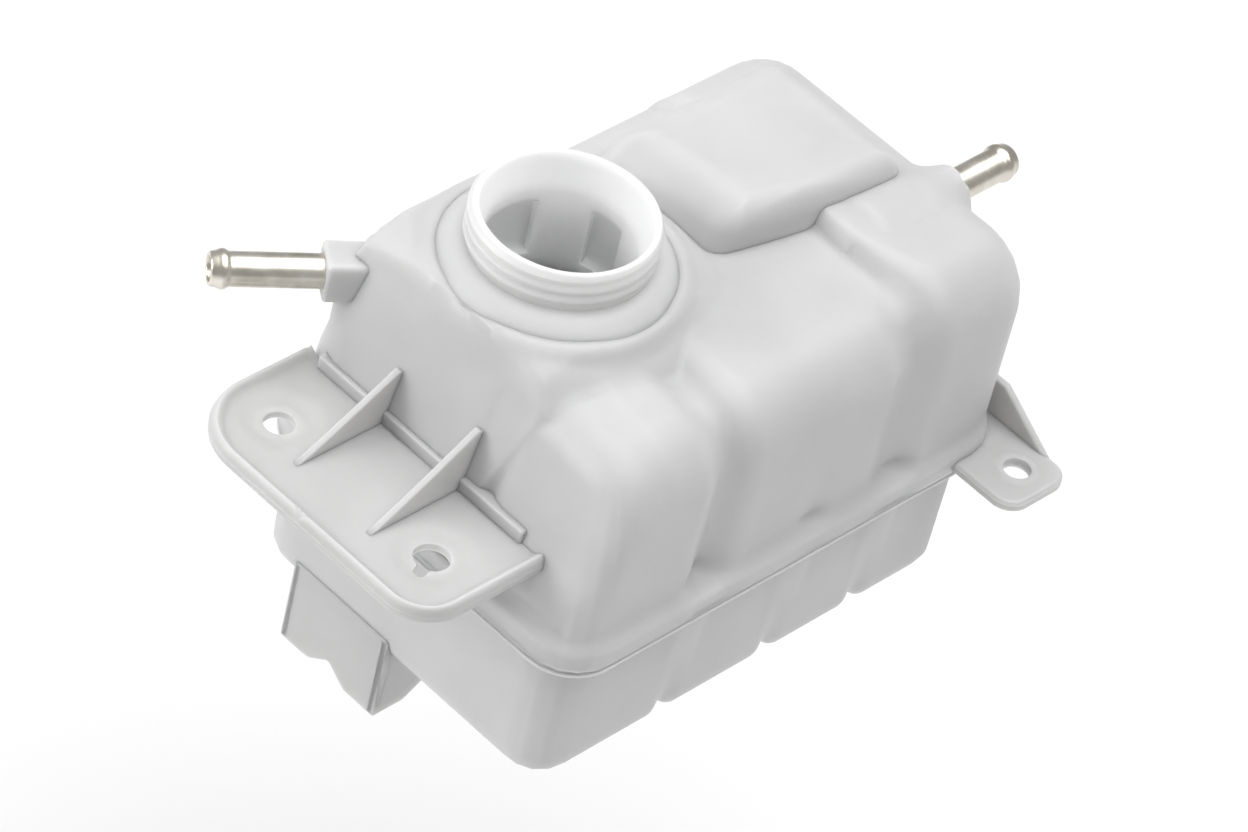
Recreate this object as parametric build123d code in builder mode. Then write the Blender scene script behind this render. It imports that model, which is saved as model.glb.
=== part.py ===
"""Coolant expansion tank: two hollow plastic shells welded at a flange, and two steel hose pipes.

Millimetres. The origin is midway between the bolt holes of the left bracket, on its underside.
+X runs along the tank to its right end, +Y to its back and +Z up. Heights named level or top,
and all x and y values below, are counted from the middle of the weld seam.
"""

import os
from math import cos, radians, sin

from build123d import *

os.makedirs("parts", exist_ok=True)

# Place of the seam's middle, from the bolt holes
tank_x = 89.0
tank_y = -4.0
seam_z = -17.5

# Moulded walls
wall = 2.6
rib_wall = 2.0
groove_depth = 4.5

# Weld flange, half of it on each shell
flange_left = -75.0
flange_right = 73.0
flange_front = -58.5
flange_back = 50.0
flange_corner = 13.0
upper_flange_top = 5.0
lower_flange_drop = 2.5

# Upper shell: walls, grooves between its chambers and chamber tops
upper_left = -71.5
upper_right = 73.5
upper_front = -56.0
upper_back = 48.0
upper_groove_1 = -28.0
upper_groove_2 = 33.0
left_top = 47.5
middle_top = 56.0
right_top = 61.5
chamber_corner = 11.0
chamber_rim = 9.0
core_rim = 6.0

# End chamber under the neck, drawn in towards its top
end_front = -16.0
slope_start = 14.0
slope_top = 54.0
slope_left = -58.5
slope_back = 41.5
end_rim = 5.0

# Raised box at the back
box_left = -4.0
box_right = 62.5
box_front = -17.0
box_back = 31.5
box_top = 68.0
box_corner = 7.0
box_rim = 3.0
box_cut_x = 26.0
box_cut_y = -5.0

# Filler neck
neck_x = -30.8
neck_y = 7.2
neck_top = 76.0
neck_r = 23.4
mouth_r = 20.6
throat_r = 17.6
throat_top = 60.0
rim_chamfer = 0.8
well_r = 22.0
cone_r = 28.0
cone_top = 64.5
collar_r = 31.5
collar_top = 60.6
platform_r = 40.5
platform_root = 12.0

# Left bracket
hole_spacing = 53.0
bolt_hole_r = 3.6
bracket_thickness = 3.0
bracket_reach = 19.0
bracket_front = -39.0
bracket_back = 46.0
bracket_front_corner = 12.0
bracket_back_corner = 19.0
bracket_lip = 2.0
bracket_lip_rise = 1.6
boss_ring_r = 7.0
boss_ring_rise = 0.8
ledge_front = -31.0
ledge_back = 36.0
ledge_top = 24.0
gusset_thickness = 2.0
gusset_foot_x = -96.0
gusset_places = ((17.0, 38.0), (-10.5, 42.0))

# Right tab
tab_left = 55.5
tab_right = 78.0
tab_front = -78.5
tab_corner = 6.0
tab_thickness = 3.0
tab_hole_x = 67.5
tab_hole_y = -68.5
tab_hole_r = 3.6
tab_rib_top = 13.5
tab_rib_front = -70.5
tab_rib_back = -47.0
rib_lead = 5.0

# Steel hose pipes
pipe_r = 4.25
pipe_bore_r = 3.0
bead_r = 4.9
bead_length = 4.0
pipe_seat_depth = 9.0
left_pipe_x = -67.0
left_pipe_y = 45.7
left_pipe_level = 45.0
left_pipe_reach = 27.0
left_pipe_turn = 145.6
left_boss_width = 10.5
left_boss_height = 11.5
right_pipe_x = 75.4
right_pipe_y = -22.6
right_pipe_level = 55.0
right_pipe_reach = 20.0
right_boss_r = 6.6
boss_depth = 15.0

# Lower shell
lower_left = -73.5
lower_right = 69.5
lower_front = -55.0
lower_back = 45.5
lower_depth = 41.5
lower_grooves = (-30.0, 5.5, 36.0)
lower_corner = 11.0
lower_notch = 3.5
lower_rim = 7.5

# Foot under the left end
foot_back = 30.2
foot_front = -3.2
foot_drop = 59.5
foot_wall = 2.2
foot_return = 9.0
foot_toe = 9.0
foot_notch = 5.0

# Hose outlet under the tank
outlet_x = 18.0
outlet_y = 20.0
outlet_r = 9.5
outlet_bore_r = 7.0
outlet_length = 22.0
outlet_bead_r = 10.4
outlet_bead_length = 5.0

# Openings through the inner ribs
window_width = 16.0
window_height = 14.0
window_margin = 24.0


def level(height):
    """Horizontal plane at a height over the weld seam."""
    return Plane(origin=(tank_x, tank_y, seam_z + height))


def across(y):
    """Upright plane along the tank at y, with x to the right; it faces the front."""
    return Plane(origin=(tank_x, tank_y + y, seam_z), x_dir=(1, 0, 0), z_dir=(0, -1, 0))


def sideways(x):
    """Upright plane across the tank at x, with y to the right; it faces the right end."""
    return Plane(origin=(tank_x + x, tank_y, seam_z), x_dir=(0, 1, 0), z_dir=(1, 0, 0))


def pipe_frame(x, y, height, turn):
    """Plane at a pipe's root, square to the pipe, which points turn degrees from +X."""
    outwards = (cos(radians(turn)), sin(radians(turn)), 0)
    return Plane(origin=(tank_x + x, tank_y + y, seam_z + height), x_dir=(0, 0, 1), z_dir=outwards)


def chamber(x_span, y_span, top, corner, rim, inset):
    """Upright block on the seam with rounded corners and a rounded top, drawn in by inset."""
    with BuildPart() as block:
        with BuildSketch(level(0)):
            with Locations((sum(x_span) / 2, sum(y_span) / 2)):
                RectangleRounded(x_span[1] - x_span[0] - 2 * inset,
                                 y_span[1] - y_span[0] - 2 * inset, corner - inset / 2)
        extrude(amount=top - inset)
        fillet(block.faces().sort_by(Axis.Z)[-1].edges(), rim - inset / 2)
    return block.part


def end_chamber(inset):
    """Chamber under the neck: upright to slope_start, then its left and back walls lean in."""
    sections = ((0, upper_left, upper_back), (slope_start, upper_left, upper_back),
                (slope_top - inset, slope_left, slope_back))
    outlines = []
    for height, left, back in sections:
        with BuildSketch(level(height)) as outline:
            with Locations(((left + upper_groove_1 + inset) / 2, (end_front + back) / 2)):
                RectangleRounded(upper_groove_1 - left - inset, back - end_front - 2 * inset,
                                 chamber_corner - inset / 2)
        outlines.append(outline.sketch)
    with BuildPart() as block:
        extrude(outlines[0], amount=slope_start)
        loft(outlines[1:])
        fillet(block.faces().sort_by(Axis.Z)[-1].edges(), end_rim - inset / 2)
    return block.part


def upper_form(inset):
    """Outer form of the upper shell, or its hollow when drawn in by the wall."""
    core_y = (upper_front + groove_depth, upper_back - groove_depth)
    blocks = [
        chamber((upper_left, upper_groove_1), (upper_front, end_front + chamber_corner),
                left_top, chamber_corner, chamber_rim, inset),
        chamber((upper_groove_1, upper_groove_2), (upper_front, upper_back),
                middle_top, chamber_corner, chamber_rim, inset),
        chamber((upper_groove_2, upper_right), (upper_front, upper_back),
                right_top, chamber_corner, chamber_rim, inset),
        end_chamber(inset),
        # Cores that join the chambers behind their grooves
        chamber((slope_left + groove_depth, upper_groove_2), (core_y[0], slope_back),
                left_top - groove_depth / 2, chamber_corner, core_rim, inset),
        chamber((upper_groove_1 + groove_depth, upper_right - groove_depth), core_y,
                middle_top, chamber_corner, core_rim, inset),
    ]
    with BuildPart() as form:
        add(blocks)
        # Platform that carries the neck, cut short by the leaning walls
        with BuildSketch(level(left_top - platform_root)):
            with Locations((neck_x, neck_y)):
                Circle(platform_r - inset)
            with Locations((slope_left + inset, slope_back - inset)):
                RectangleRounded(2 * platform_r, 2 * platform_r, chamber_corner,
                                 align=(Align.MIN, Align.MAX), mode=Mode.INTERSECT)
        extrude(amount=middle_top - left_top + platform_root - inset)
        # Raised box, its front left corner cut off beside the neck
        with BuildSketch(level(middle_top - core_rim)):
            with BuildLine():
                Polyline((box_right - inset, box_front + inset), (box_cut_x, box_front + inset),
                         (box_left + inset, box_cut_y), (box_left + inset, box_back - inset),
                         (box_right - inset, box_back - inset), close=True)
            make_face()
            fillet(vertices(), box_corner)
        extrude(amount=box_top - middle_top + core_rim - inset)
        fillet(form.faces().sort_by(Axis.Z)[-1].edges(), box_rim - inset / 2)
    return form.part


def lower_form(inset):
    """Outer form of the lower shell, or its hollow when drawn in by the wall."""
    length = lower_right - lower_left
    width = lower_back - lower_front
    with BuildPart() as form:
        with BuildSketch(level(0)):
            with Locations(((lower_left + lower_right) / 2, (lower_front + lower_back) / 2)):
                RectangleRounded(length - 2 * inset, width - 2 * inset, lower_corner - inset / 2)
        extrude(amount=inset - lower_depth)
        fillet(form.faces().sort_by(Axis.Z)[0].edges(), lower_rim - inset / 2)
        for x in lower_grooves:
            # Round-shouldered notch across the bottom
            shoulder = lower_rim
            with BuildSketch(across(lower_front)):
                with Locations((x, shoulder + inset - lower_depth)):
                    Rectangle(2 * shoulder, shoulder + inset, align=(Align.CENTER, Align.MAX))
                with Locations((x - shoulder, shoulder - lower_depth),
                               (x + shoulder, shoulder - lower_depth)):
                    Circle(shoulder - inset, mode=Mode.SUBTRACT)
            extrude(amount=-width, mode=Mode.SUBTRACT)
            # Narrow upright groove in the front and back walls
            for y, inwards in ((lower_front, 1), (lower_back, -1)):
                reach = lower_notch + inset
                with BuildSketch(level(0)):
                    with Locations((x, y + inwards * reach / 2)):
                        Rectangle(2 * lower_notch, reach)
                    with Locations((x - lower_notch, y + inwards * lower_notch),
                                   (x + lower_notch, y + inwards * lower_notch)):
                        Circle(lower_notch - inset, mode=Mode.SUBTRACT)
                extrude(amount=-lower_depth, mode=Mode.SUBTRACT)
    return form.part


def inner_ribs(form, places, rise):
    """Cross ribs inside a form, with a well under the neck and a window at front and back."""
    x_middle = (upper_left + upper_right) / 2
    window_y = upper_back - window_margin
    with BuildPart() as ribs:
        with BuildSketch(level(0)):
            with Locations([(x, 0) for x in places]):
                Rectangle(rib_wall, 2 * (flange_back - flange_front))
        extrude(amount=rise)
        with BuildSketch(level(0)):
            with Locations((neck_x, neck_y)):
                Circle(well_r)
        extrude(amount=rise, mode=Mode.SUBTRACT)
        with BuildSketch(sideways(x_middle)):
            with Locations((window_y, 0), (-window_y, 0)):
                Rectangle(window_width, 2 * window_height)
        extrude(amount=upper_right - upper_left, both=True, mode=Mode.SUBTRACT)
        add(form, mode=Mode.INTERSECT)
    return ribs.part


def flange(height):
    """Half of the weld flange, upwards from the seam or downwards."""
    with BuildPart() as band:
        with BuildSketch(level(0)):
            with Locations(((flange_left + flange_right) / 2, (flange_front + flange_back) / 2)):
                RectangleRounded(flange_right - flange_left, flange_back - flange_front, flange_corner)
        extrude(amount=height)
    return band.part


def neck_outside():
    """Collar, cone and tube of the filler neck, turned about its axis."""
    with BuildPart() as neck:
        with BuildSketch(across(neck_y)):
            with BuildLine():
                Polyline((neck_x, middle_top - wall), (neck_x + collar_r, middle_top - wall),
                         (neck_x + collar_r, collar_top), (neck_x + cone_r, collar_top),
                         (neck_x + neck_r, cone_top), (neck_x + neck_r, neck_top - rim_chamfer),
                         (neck_x + neck_r - rim_chamfer, neck_top), (neck_x, neck_top), close=True)
            make_face()
        revolve(axis=Axis((tank_x + neck_x, tank_y + neck_y, 0), (0, 0, 1)))
    return neck.part


def neck_inside():
    """Mouth and throat of the filler neck, as the solid that is cut out."""
    with BuildPart() as bore:
        with BuildSketch(level(throat_top)):
            with Locations((neck_x, neck_y)):
                Circle(mouth_r)
        extrude(amount=neck_top - throat_top)
        with BuildSketch(level(throat_top)):
            with Locations((neck_x, neck_y)):
                Circle(throat_r)
        extrude(amount=left_top - wall - throat_top)
    return bore.part


def bracket_outline(inset):
    """Plan of the left bracket; it runs into the wall at its right."""
    left = -bracket_reach - tank_x + inset
    right = upper_left + wall
    front = bracket_front + inset
    back = bracket_back - inset
    with BuildSketch(level(-seam_z)) as outline:
        with BuildLine():
            Polyline((right, front), (left, front), (left, back), (right, back), close=True)
        make_face()
        fillet(outline.vertices().group_by(Axis.X)[0].sort_by(Axis.Y)[0],
               bracket_front_corner - inset)
        fillet(outline.vertices().group_by(Axis.X)[0].sort_by(Axis.Y)[-1],
               bracket_back_corner - inset)
    return outline.sketch


def bracket():
    """Left bracket: lipped plate with two bolt holes in raised rings."""
    plate_top = -seam_z + bracket_thickness
    ring_places = ((-tank_x, -tank_y - hole_spacing / 2), (-tank_x, -tank_y + hole_spacing / 2))
    with BuildPart() as plate:
        extrude(bracket_outline(0), amount=bracket_thickness + bracket_lip_rise)
        extrude(bracket_outline(bracket_lip).moved(Location((0, 0, bracket_thickness))),
                amount=bracket_lip_rise, mode=Mode.SUBTRACT)
        with BuildSketch(level(plate_top)):
            with Locations(*ring_places):
                Circle(boss_ring_r)
        extrude(amount=boss_ring_rise)
        with BuildSketch(level(-seam_z)):
            with Locations(*ring_places):
                Circle(bolt_hole_r)
        extrude(amount=bracket_thickness + boss_ring_rise, mode=Mode.SUBTRACT)
    return plate.part


def bracket_gussets():
    """Ledge where the bracket meets the wall, and upright triangles up the leaning wall."""
    plate_top = -seam_z + bracket_thickness
    with BuildPart() as gussets:
        with BuildSketch(level(plate_top)):
            with Locations((upper_left, (ledge_front + ledge_back) / 2)):
                Rectangle(wall, ledge_back - ledge_front, align=(Align.MIN, Align.CENTER))
        extrude(amount=ledge_top - plate_top)
        for y, top in gusset_places:
            lean = (slope_left - upper_left) * (top - slope_start) / (slope_top - slope_start)
            wall_x = upper_left + lean
            with BuildSketch(across(y)):
                with BuildLine():
                    Polyline((gusset_foot_x, plate_top), (wall_x, top), (wall_x + wall, top),
                             (upper_left + wall, plate_top), close=True)
                make_face()
            extrude(amount=gusset_thickness / 2, both=True)
    return gussets.part


def right_tab():
    """Tab at the right front corner, with one bolt hole and an upright rib on its outer edge."""
    with BuildPart() as tab:
        with BuildSketch(level(0)) as outline:
            with BuildLine():
                Polyline((tab_left, tab_front), (tab_right, tab_front), (tab_right, flange_front + wall),
                         (upper_right - wall, upper_front + chamber_corner),
                         (tab_left, flange_front + wall), close=True)
            make_face()
            fillet(outline.vertices().group_by(Axis.Y)[0], tab_corner)
            with Locations((tab_hole_x, tab_hole_y)):
                Circle(tab_hole_r, mode=Mode.SUBTRACT)
        extrude(amount=tab_thickness)
        with BuildSketch(sideways(tab_right)):
            with BuildLine():
                Polyline((tab_rib_front, 0), (tab_rib_front, tab_thickness),
                         (flange_front + rib_lead, tab_rib_top), (tab_rib_back, tab_rib_top),
                         (tab_rib_back, 0), close=True)
            make_face()
        extrude(amount=-rib_wall)
        with BuildSketch(level(0)):
            with BuildLine():
                Polyline((tab_right, tab_rib_back - rib_wall), (tab_right, tab_rib_back),
                         (upper_right - wall, tab_rib_back), (upper_right - wall, tab_rib_back - rib_wall),
                         close=True)
            make_face()
        extrude(amount=tab_rib_top)
    return tab.part


def foot():
    """Stirrup under the left end: an outer plate with a notched edge and two return walls."""
    with BuildPart() as stirrup:
        with BuildSketch(sideways(lower_left)):
            with BuildLine():
                Polyline((foot_front, lower_rim - lower_depth), (foot_front, -foot_drop),
                         (foot_front + foot_toe, -foot_drop),
                         (foot_front + foot_toe + foot_notch, foot_notch - foot_drop),
                         (foot_back - foot_toe, -foot_drop), (foot_back, -foot_drop),
                         (foot_back, lower_rim - lower_depth), close=True)
            make_face()
        extrude(amount=foot_wall)
        for y in (foot_front, foot_back - foot_wall):
            with BuildSketch(across(y)):
                with BuildLine():
                    Polyline((lower_left, -foot_drop), (lower_left + foot_return, -foot_drop),
                             (lower_left + 2 * foot_return, foot_notch - foot_drop),
                             (lower_left + 2 * foot_return, wall - lower_depth),
                             (lower_left + lower_rim, wall - lower_depth),
                             (lower_left, lower_rim - lower_depth), close=True)
                make_face()
            extrude(amount=-foot_wall)
    return stirrup.part


def hose_pipe(frame, reach):
    """Bored steel pipe with a bead at its end, turned from its seat in the boss outwards."""
    lengthwise = Plane(origin=frame.origin, x_dir=frame.z_dir, z_dir=frame.y_dir)
    bead_rise = bead_r - pipe_r
    with BuildPart() as pipe:
        with BuildSketch(lengthwise):
            with BuildLine():
                Polyline((-pipe_seat_depth, pipe_bore_r), (-pipe_seat_depth, pipe_r),
                         (reach - bead_length, pipe_r), (reach - bead_length + bead_rise, bead_r),
                         (reach - 2 * bead_rise, bead_r), (reach, pipe_r), (reach, pipe_bore_r),
                         close=True)
            make_face()
        revolve(axis=Axis(frame.origin, frame.z_dir))
    return pipe.part


left_root = pipe_frame(left_pipe_x, left_pipe_y, left_pipe_level, left_pipe_turn)
right_root = pipe_frame(right_pipe_x, right_pipe_y, right_pipe_level, 0)
upper_outside = upper_form(0)
lower_outside = lower_form(0)
upper_hollow = upper_form(wall)
lower_hollow = lower_form(wall)

with BuildPart() as upper_shell:
    add(upper_outside)
    add(flange(upper_flange_top))
    add(neck_outside())
    add(bracket())
    add(bracket_gussets())
    add(right_tab())
    add(upper_hollow, mode=Mode.SUBTRACT)
    add(inner_ribs(upper_outside, (upper_groove_1, upper_groove_2), box_top))
    # Bosses that hold the steel pipes
    with BuildSketch(left_root):
        Rectangle(left_boss_height, left_boss_width)
    extrude(amount=-boss_depth)
    with BuildSketch(right_root):
        Circle(right_boss_r)
    extrude(amount=-boss_depth)
    with BuildSketch(left_root, right_root):
        Circle(pipe_r)
    extrude(amount=-pipe_seat_depth, mode=Mode.SUBTRACT)
    with BuildSketch(left_root, right_root):
        Circle(pipe_bore_r)
    extrude(amount=-boss_depth - wall, mode=Mode.SUBTRACT)
    add(neck_inside(), mode=Mode.SUBTRACT)
upper_shell.part.label = "upper_shell"
export_step(upper_shell.part, "parts/upper_shell.step")

with BuildPart() as lower_shell:
    add(lower_outside)
    add(flange(-lower_flange_drop))
    add(foot())
    add(lower_hollow, mode=Mode.SUBTRACT)
    add(inner_ribs(lower_outside, lower_grooves, -lower_depth))
    # Hose outlet
    with BuildSketch(level(wall / 2 - lower_depth)):
        with Locations((outlet_x, outlet_y)):
            Circle(outlet_r)
    extrude(amount=-outlet_length - wall / 2)
    with BuildSketch(level(-lower_depth - outlet_length)):
        with Locations((outlet_x, outlet_y)):
            Circle(outlet_bead_r)
    extrude(amount=outlet_bead_length)
    with BuildSketch(level(wall - lower_depth)):
        with Locations((outlet_x, outlet_y)):
            Circle(outlet_bore_r)
    extrude(amount=-outlet_length - wall, mode=Mode.SUBTRACT)
lower_shell.part.label = "lower_shell"
export_step(lower_shell.part, "parts/lower_shell.step")

left_pipe = hose_pipe(left_root, left_pipe_reach)
left_pipe.label = "left_pipe"
export_step(left_pipe, "parts/left_pipe.step")

right_pipe = hose_pipe(right_root, right_pipe_reach)
right_pipe.label = "right_pipe"
export_step(right_pipe, "parts/right_pipe.step")
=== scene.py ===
"""Coolant expansion tank: milky moulded plastic, two steel hose pipes, on a pale studio floor.

Shapes are worked out in millimetres from the middle of the weld seam between the two shells, with
x along the tank to its right end, y to its back and z up, and become metres when a mesh is made.
"""

import bmesh
import bpy
import numpy as np
from mathutils import Matrix, Vector


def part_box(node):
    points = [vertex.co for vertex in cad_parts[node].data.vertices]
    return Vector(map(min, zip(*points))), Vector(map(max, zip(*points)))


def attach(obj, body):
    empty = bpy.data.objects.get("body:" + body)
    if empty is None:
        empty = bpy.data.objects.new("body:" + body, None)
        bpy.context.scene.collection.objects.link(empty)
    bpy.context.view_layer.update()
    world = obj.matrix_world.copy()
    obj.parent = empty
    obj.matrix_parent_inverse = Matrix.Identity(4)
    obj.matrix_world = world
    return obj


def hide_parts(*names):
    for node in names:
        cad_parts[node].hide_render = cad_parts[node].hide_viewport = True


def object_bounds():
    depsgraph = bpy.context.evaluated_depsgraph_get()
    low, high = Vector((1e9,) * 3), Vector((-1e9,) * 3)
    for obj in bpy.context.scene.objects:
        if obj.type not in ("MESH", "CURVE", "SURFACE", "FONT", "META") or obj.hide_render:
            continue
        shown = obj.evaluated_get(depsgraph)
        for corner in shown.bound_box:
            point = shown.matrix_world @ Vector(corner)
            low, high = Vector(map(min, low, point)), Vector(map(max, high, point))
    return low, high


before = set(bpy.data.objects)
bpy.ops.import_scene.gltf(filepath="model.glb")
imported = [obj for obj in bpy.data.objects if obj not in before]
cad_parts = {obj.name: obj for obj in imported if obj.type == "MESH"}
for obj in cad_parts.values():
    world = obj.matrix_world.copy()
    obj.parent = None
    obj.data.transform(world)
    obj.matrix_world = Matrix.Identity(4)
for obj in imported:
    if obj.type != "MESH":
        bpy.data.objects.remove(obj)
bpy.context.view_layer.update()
MILLIMETRE = 0.001

# Weld flange: its band on the upper shell stands flange_top high, on the lower one flange_drop deep
flange_left, flange_right = -75.0, 73.0
flange_front, flange_back = -58.5, 50.0
flange_corner = 13.0
flange_top, flange_top_rim, flange_top_flare = 5.0, 1.2, 4.5
flange_drop, flange_drop_rim, flange_drop_flare = 2.5, 0.8, 1.2

# Middle of the weld seam in the part's own frame, from the lower shell's box
seam_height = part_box("lower_shell")[1][2]
SEAM_MIDDLE = np.array((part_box("lower_shell")[0][0] - flange_left / 1000,
                        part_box("lower_shell")[0][1] - flange_front / 1000, seam_height))

# Walls of both shells; the left end and the back lean, given as places at heights
wall = 2.4
corner_r = 11.0
upper_front = -56.0
groove_left, groove_right = -28.0, 35.0
end_heights, end_places, end_lean = (10.0, 24.0, 38.0, 54.0, 66.0), (-71.5, -67.6, -64.4, -61.0, -58.8), 0.95
back_heights, back_places, back_lean = (12.0, 54.0, 68.0), (48.0, 41.5, 39.3), 0.988

# Left chamber: its roof rises to the right and falls to the front
left_top, left_back = 52.8, -14.8
left_rise, left_rise_start, left_rise_run = 0.2, -60.0, 14.0
left_fall, left_fall_start = 0.1, -22.0
left_front_rim, left_end_rim, left_back_rim, left_side_rim = 16.0, 7.0, 8.0, 10.0

# Leaning end behind the left chamber
end_right, end_front, end_top = 0.0, -14.2, 53.0
end_side_rim, end_top_rim = 8.0, 4.0

# Middle chamber: its right side turns in under the right chamber
middle_top = 56.2
middle_side_y, middle_side_x, middle_side_turn = (-50.0, -30.0), (groove_right, groove_right + 12.0), 0.857
middle_front_rim, middle_back_rim, middle_side_rim = 17.0, 8.0, 11.0

# Right chamber: the riser at its left is crisp at the back and soft in front
right_top, right_front, right_end = 61.5, -57.0, 74.7
right_front_rim, right_back_rim, right_end_rim = 18.0, 14.0, 13.0
riser_y, riser_rims = (-47.0, -26.0), (10.0, 3.0)
riser_foot_y, riser_foot_hollows = (-48.0, -36.0), (9.0, 2.4)

# Filler neck, and the collar that it stands on
neck_x, neck_y = -30.8, 7.2
collar_r, collar_top, collar_root, collar_rim = 30.5, 60.4, 50.0, 1.0
neck_r, mouth_r, neck_top = 22.4, 18.3, 76.0
thread_pitch, thread_rise, thread_fade = 3.1, 0.9, 1.2
thread_bottom, thread_top = 66.0, 75.3
window_top, window_bottom, window_depth = 62.6, 46.0, 2.4
window_spans = ((60.5, 118.0), (-9.0, 20.7))
window_side, window_ledge = 0.6, 0.3

# Platform round the collar, which falls away to a round edge
platform_r, platform_rim, platform_stretch = 42.5, 2.0, 0.75
platform_fall, platform_curl, platform_lean = 0.30, 0.03, 0.8
platform_dip, platform_dip_start, platform_dip_run = 0.25, neck_y - 26.0, 12.0

# Hollow fillets where the upper forms join
end_hollow, middle_hollow, platform_hollow, collar_hollow = 1.8, 7.0, 1.4, 4.0

# Soft hollows where the grooves run out over the flange
hollow_places, hollow_width = (-31.0, 7.0, 38.5), 4.6
hollow_front, hollow_fade = -44.0, 5.0
hollow_depth, hollow_height, hollow_rise = 1.1, 7.6, 2.4
run_depth, run_top, run_length = 0.8, 34.0, 28.0

# Raised box: left front corner, bend of its front, and each side's lean
box_foot, box_right, box_back, box_top = 57.0, 63.4, 30.5, 68.0
box_corner, box_bend = (6.3, -9.2), (32.0, -16.4)
box_slope, box_slope_run = (0.89, 0.08), 0.5
box_front_turn, box_bent_turn = (0.27, 0.963), (0.043, 0.999)
box_back_run, box_draft, box_bow, box_crown = 0.155, 0.08, 0.0005, (34.0, 8.0)
box_back_rim, box_bend_rim, box_front_rim, box_slope_rim, box_top_rim = 7.0, 6.0, 5.0, 4.0, 7.0

# Lower shell: its grooves bite deeper towards the bottom
lower_left, lower_right = -73.5, 69.5
lower_front, lower_back = -55.0, 45.5
lower_depth, lower_draft = 41.5, 0.012
lower_grooves = (-30.0, 5.5, 36.0)
lower_rim, lower_notch = 7.5, 5.0
bite_heights, bites = (-lower_depth, -30.0, -8.0), (1.2, 6.0, 10.0)

# Roots of the two steel pipes, and the round boss of the right one
left_root = np.array((-67.0, 45.7, 45.0))
right_root = np.array((75.4, -22.6, 55.0))
boss_start, boss_r, boss_taper, boss_rim, boss_hollow = 45.0, 6.6, 0.02, 0.8, 4.0

# Outlet under the tank
outlet_x, outlet_y, outlet_r, outlet_bore_r = 18.0, 20.0, 9.5, 7.0


def meet(a, b, r):
    """Where two forms overlap: the larger distance, with their common edge rounded to radius r."""
    return np.minimum(-r, np.maximum(a, b)) + np.hypot(np.maximum(r + a, 0), np.maximum(r + b, 0))


def join(a, b, r):
    """Two forms together: the smaller distance, with a hollow fillet of radius r between them."""
    return np.maximum(r, np.minimum(a, b)) - np.hypot(np.maximum(r - a, 0), np.maximum(r - b, 0))


def plan_box(x, y, x_span, y_span, corner):
    """Distance to a rectangle with rounded corners, seen from above; negative inside."""
    across = np.abs(x - sum(x_span) / 2) - (x_span[1] - x_span[0]) / 2 + corner
    along = np.abs(y - sum(y_span) / 2) - (y_span[1] - y_span[0]) / 2 + corner
    outside = np.hypot(np.maximum(across, 0), np.maximum(along, 0))
    return outside + np.minimum(np.maximum(across, along), 0) - corner


def left_chamber(x, y, z, end_wall):
    """Front wall, leaning left wall and a roof that rises to the right, with every rim rounded."""
    roof = (z - left_top - left_rise * np.clip(x - left_rise_start, 0, left_rise_run)
            + left_fall * np.maximum(left_fall_start - y, 0))
    form = meet(meet(upper_front - y, roof, left_front_rim), end_wall, left_end_rim)
    return meet(meet(form, y - left_back, left_back_rim), x - groove_left, left_side_rim)


def leaning_end(x, y, z, end_wall, rear):
    """Block under the neck: leaning left and back walls, a front that faces the left chamber, a flat top."""
    form = meet(meet(end_wall, rear, corner_r), np.maximum(x - end_right, end_front - y), end_side_rim)
    return meet(form, z - end_top, end_top_rim)


def middle_chamber(x, y, z, rear):
    """Front and back walls under a flat roof, between the left groove and a side that turns in."""
    roof = z - middle_top
    form = np.maximum(meet(upper_front - y, roof, middle_front_rim), meet(rear, roof, middle_back_rim))
    hidden_side = middle_side_turn * (x - np.interp(y, middle_side_y, middle_side_x))
    return meet(form, np.maximum(groove_left - x, hidden_side), middle_side_rim)


def right_chamber(x, y, z, rear):
    """Tallest chamber, with a riser at its left, a full round end and a tapered round boss for the pipe."""
    roof = z - right_top
    form = np.maximum(meet(right_front - y, roof, right_front_rim), meet(rear, roof, right_back_rim))
    form = meet(form, groove_right - x, np.interp(y, riser_y, riser_rims))
    form = meet(form, x - right_end, right_end_rim)
    boss_here = boss_r + boss_taper * np.maximum(right_root[0] - x, 0)
    boss = np.hypot(y - right_root[1], z - right_root[2]) - boss_here
    boss = meet(boss, np.maximum(x - right_root[0], boss_start - x), boss_rim)
    return join(form, boss, boss_hollow)


def platform(x, y, z, end_wall, rear):
    """Round the collar: falls with the distance from it and with its square, and dips more in front."""
    spread = np.hypot(x - neck_x, np.where(y > neck_y, platform_stretch, 1.0) * (y - neck_y))
    fall = np.maximum(spread - collar_r, 0)
    dip = platform_dip * np.clip(platform_dip_start - y, 0, platform_dip_run)
    top = platform_lean * (z - collar_top + platform_fall * fall + platform_curl * fall ** 2 + dip)
    return np.maximum(meet(np.maximum(end_wall, rear), top, platform_rim), spread - platform_r)


def groove_ends(x, y, z):
    """Depth of the soft hollows at the front: bell curves across each groove's end, faded in at the front."""
    across = sum(np.exp(-((x - place) / hollow_width) ** 2) for place in hollow_places)
    foot = hollow_depth * np.exp(-((z - hollow_height) / hollow_rise) ** 2)
    run = run_depth * np.clip((run_top - z) / run_length, 0, 1)
    return np.clip((hollow_front - y) / hollow_fade, 0, 1) * across * (foot + run)


def flange_plan(x, y):
    """Distance to the weld flange, seen from above."""
    return plan_box(x, y, (flange_left, flange_right), (flange_front, flange_back), flange_corner)


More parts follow.
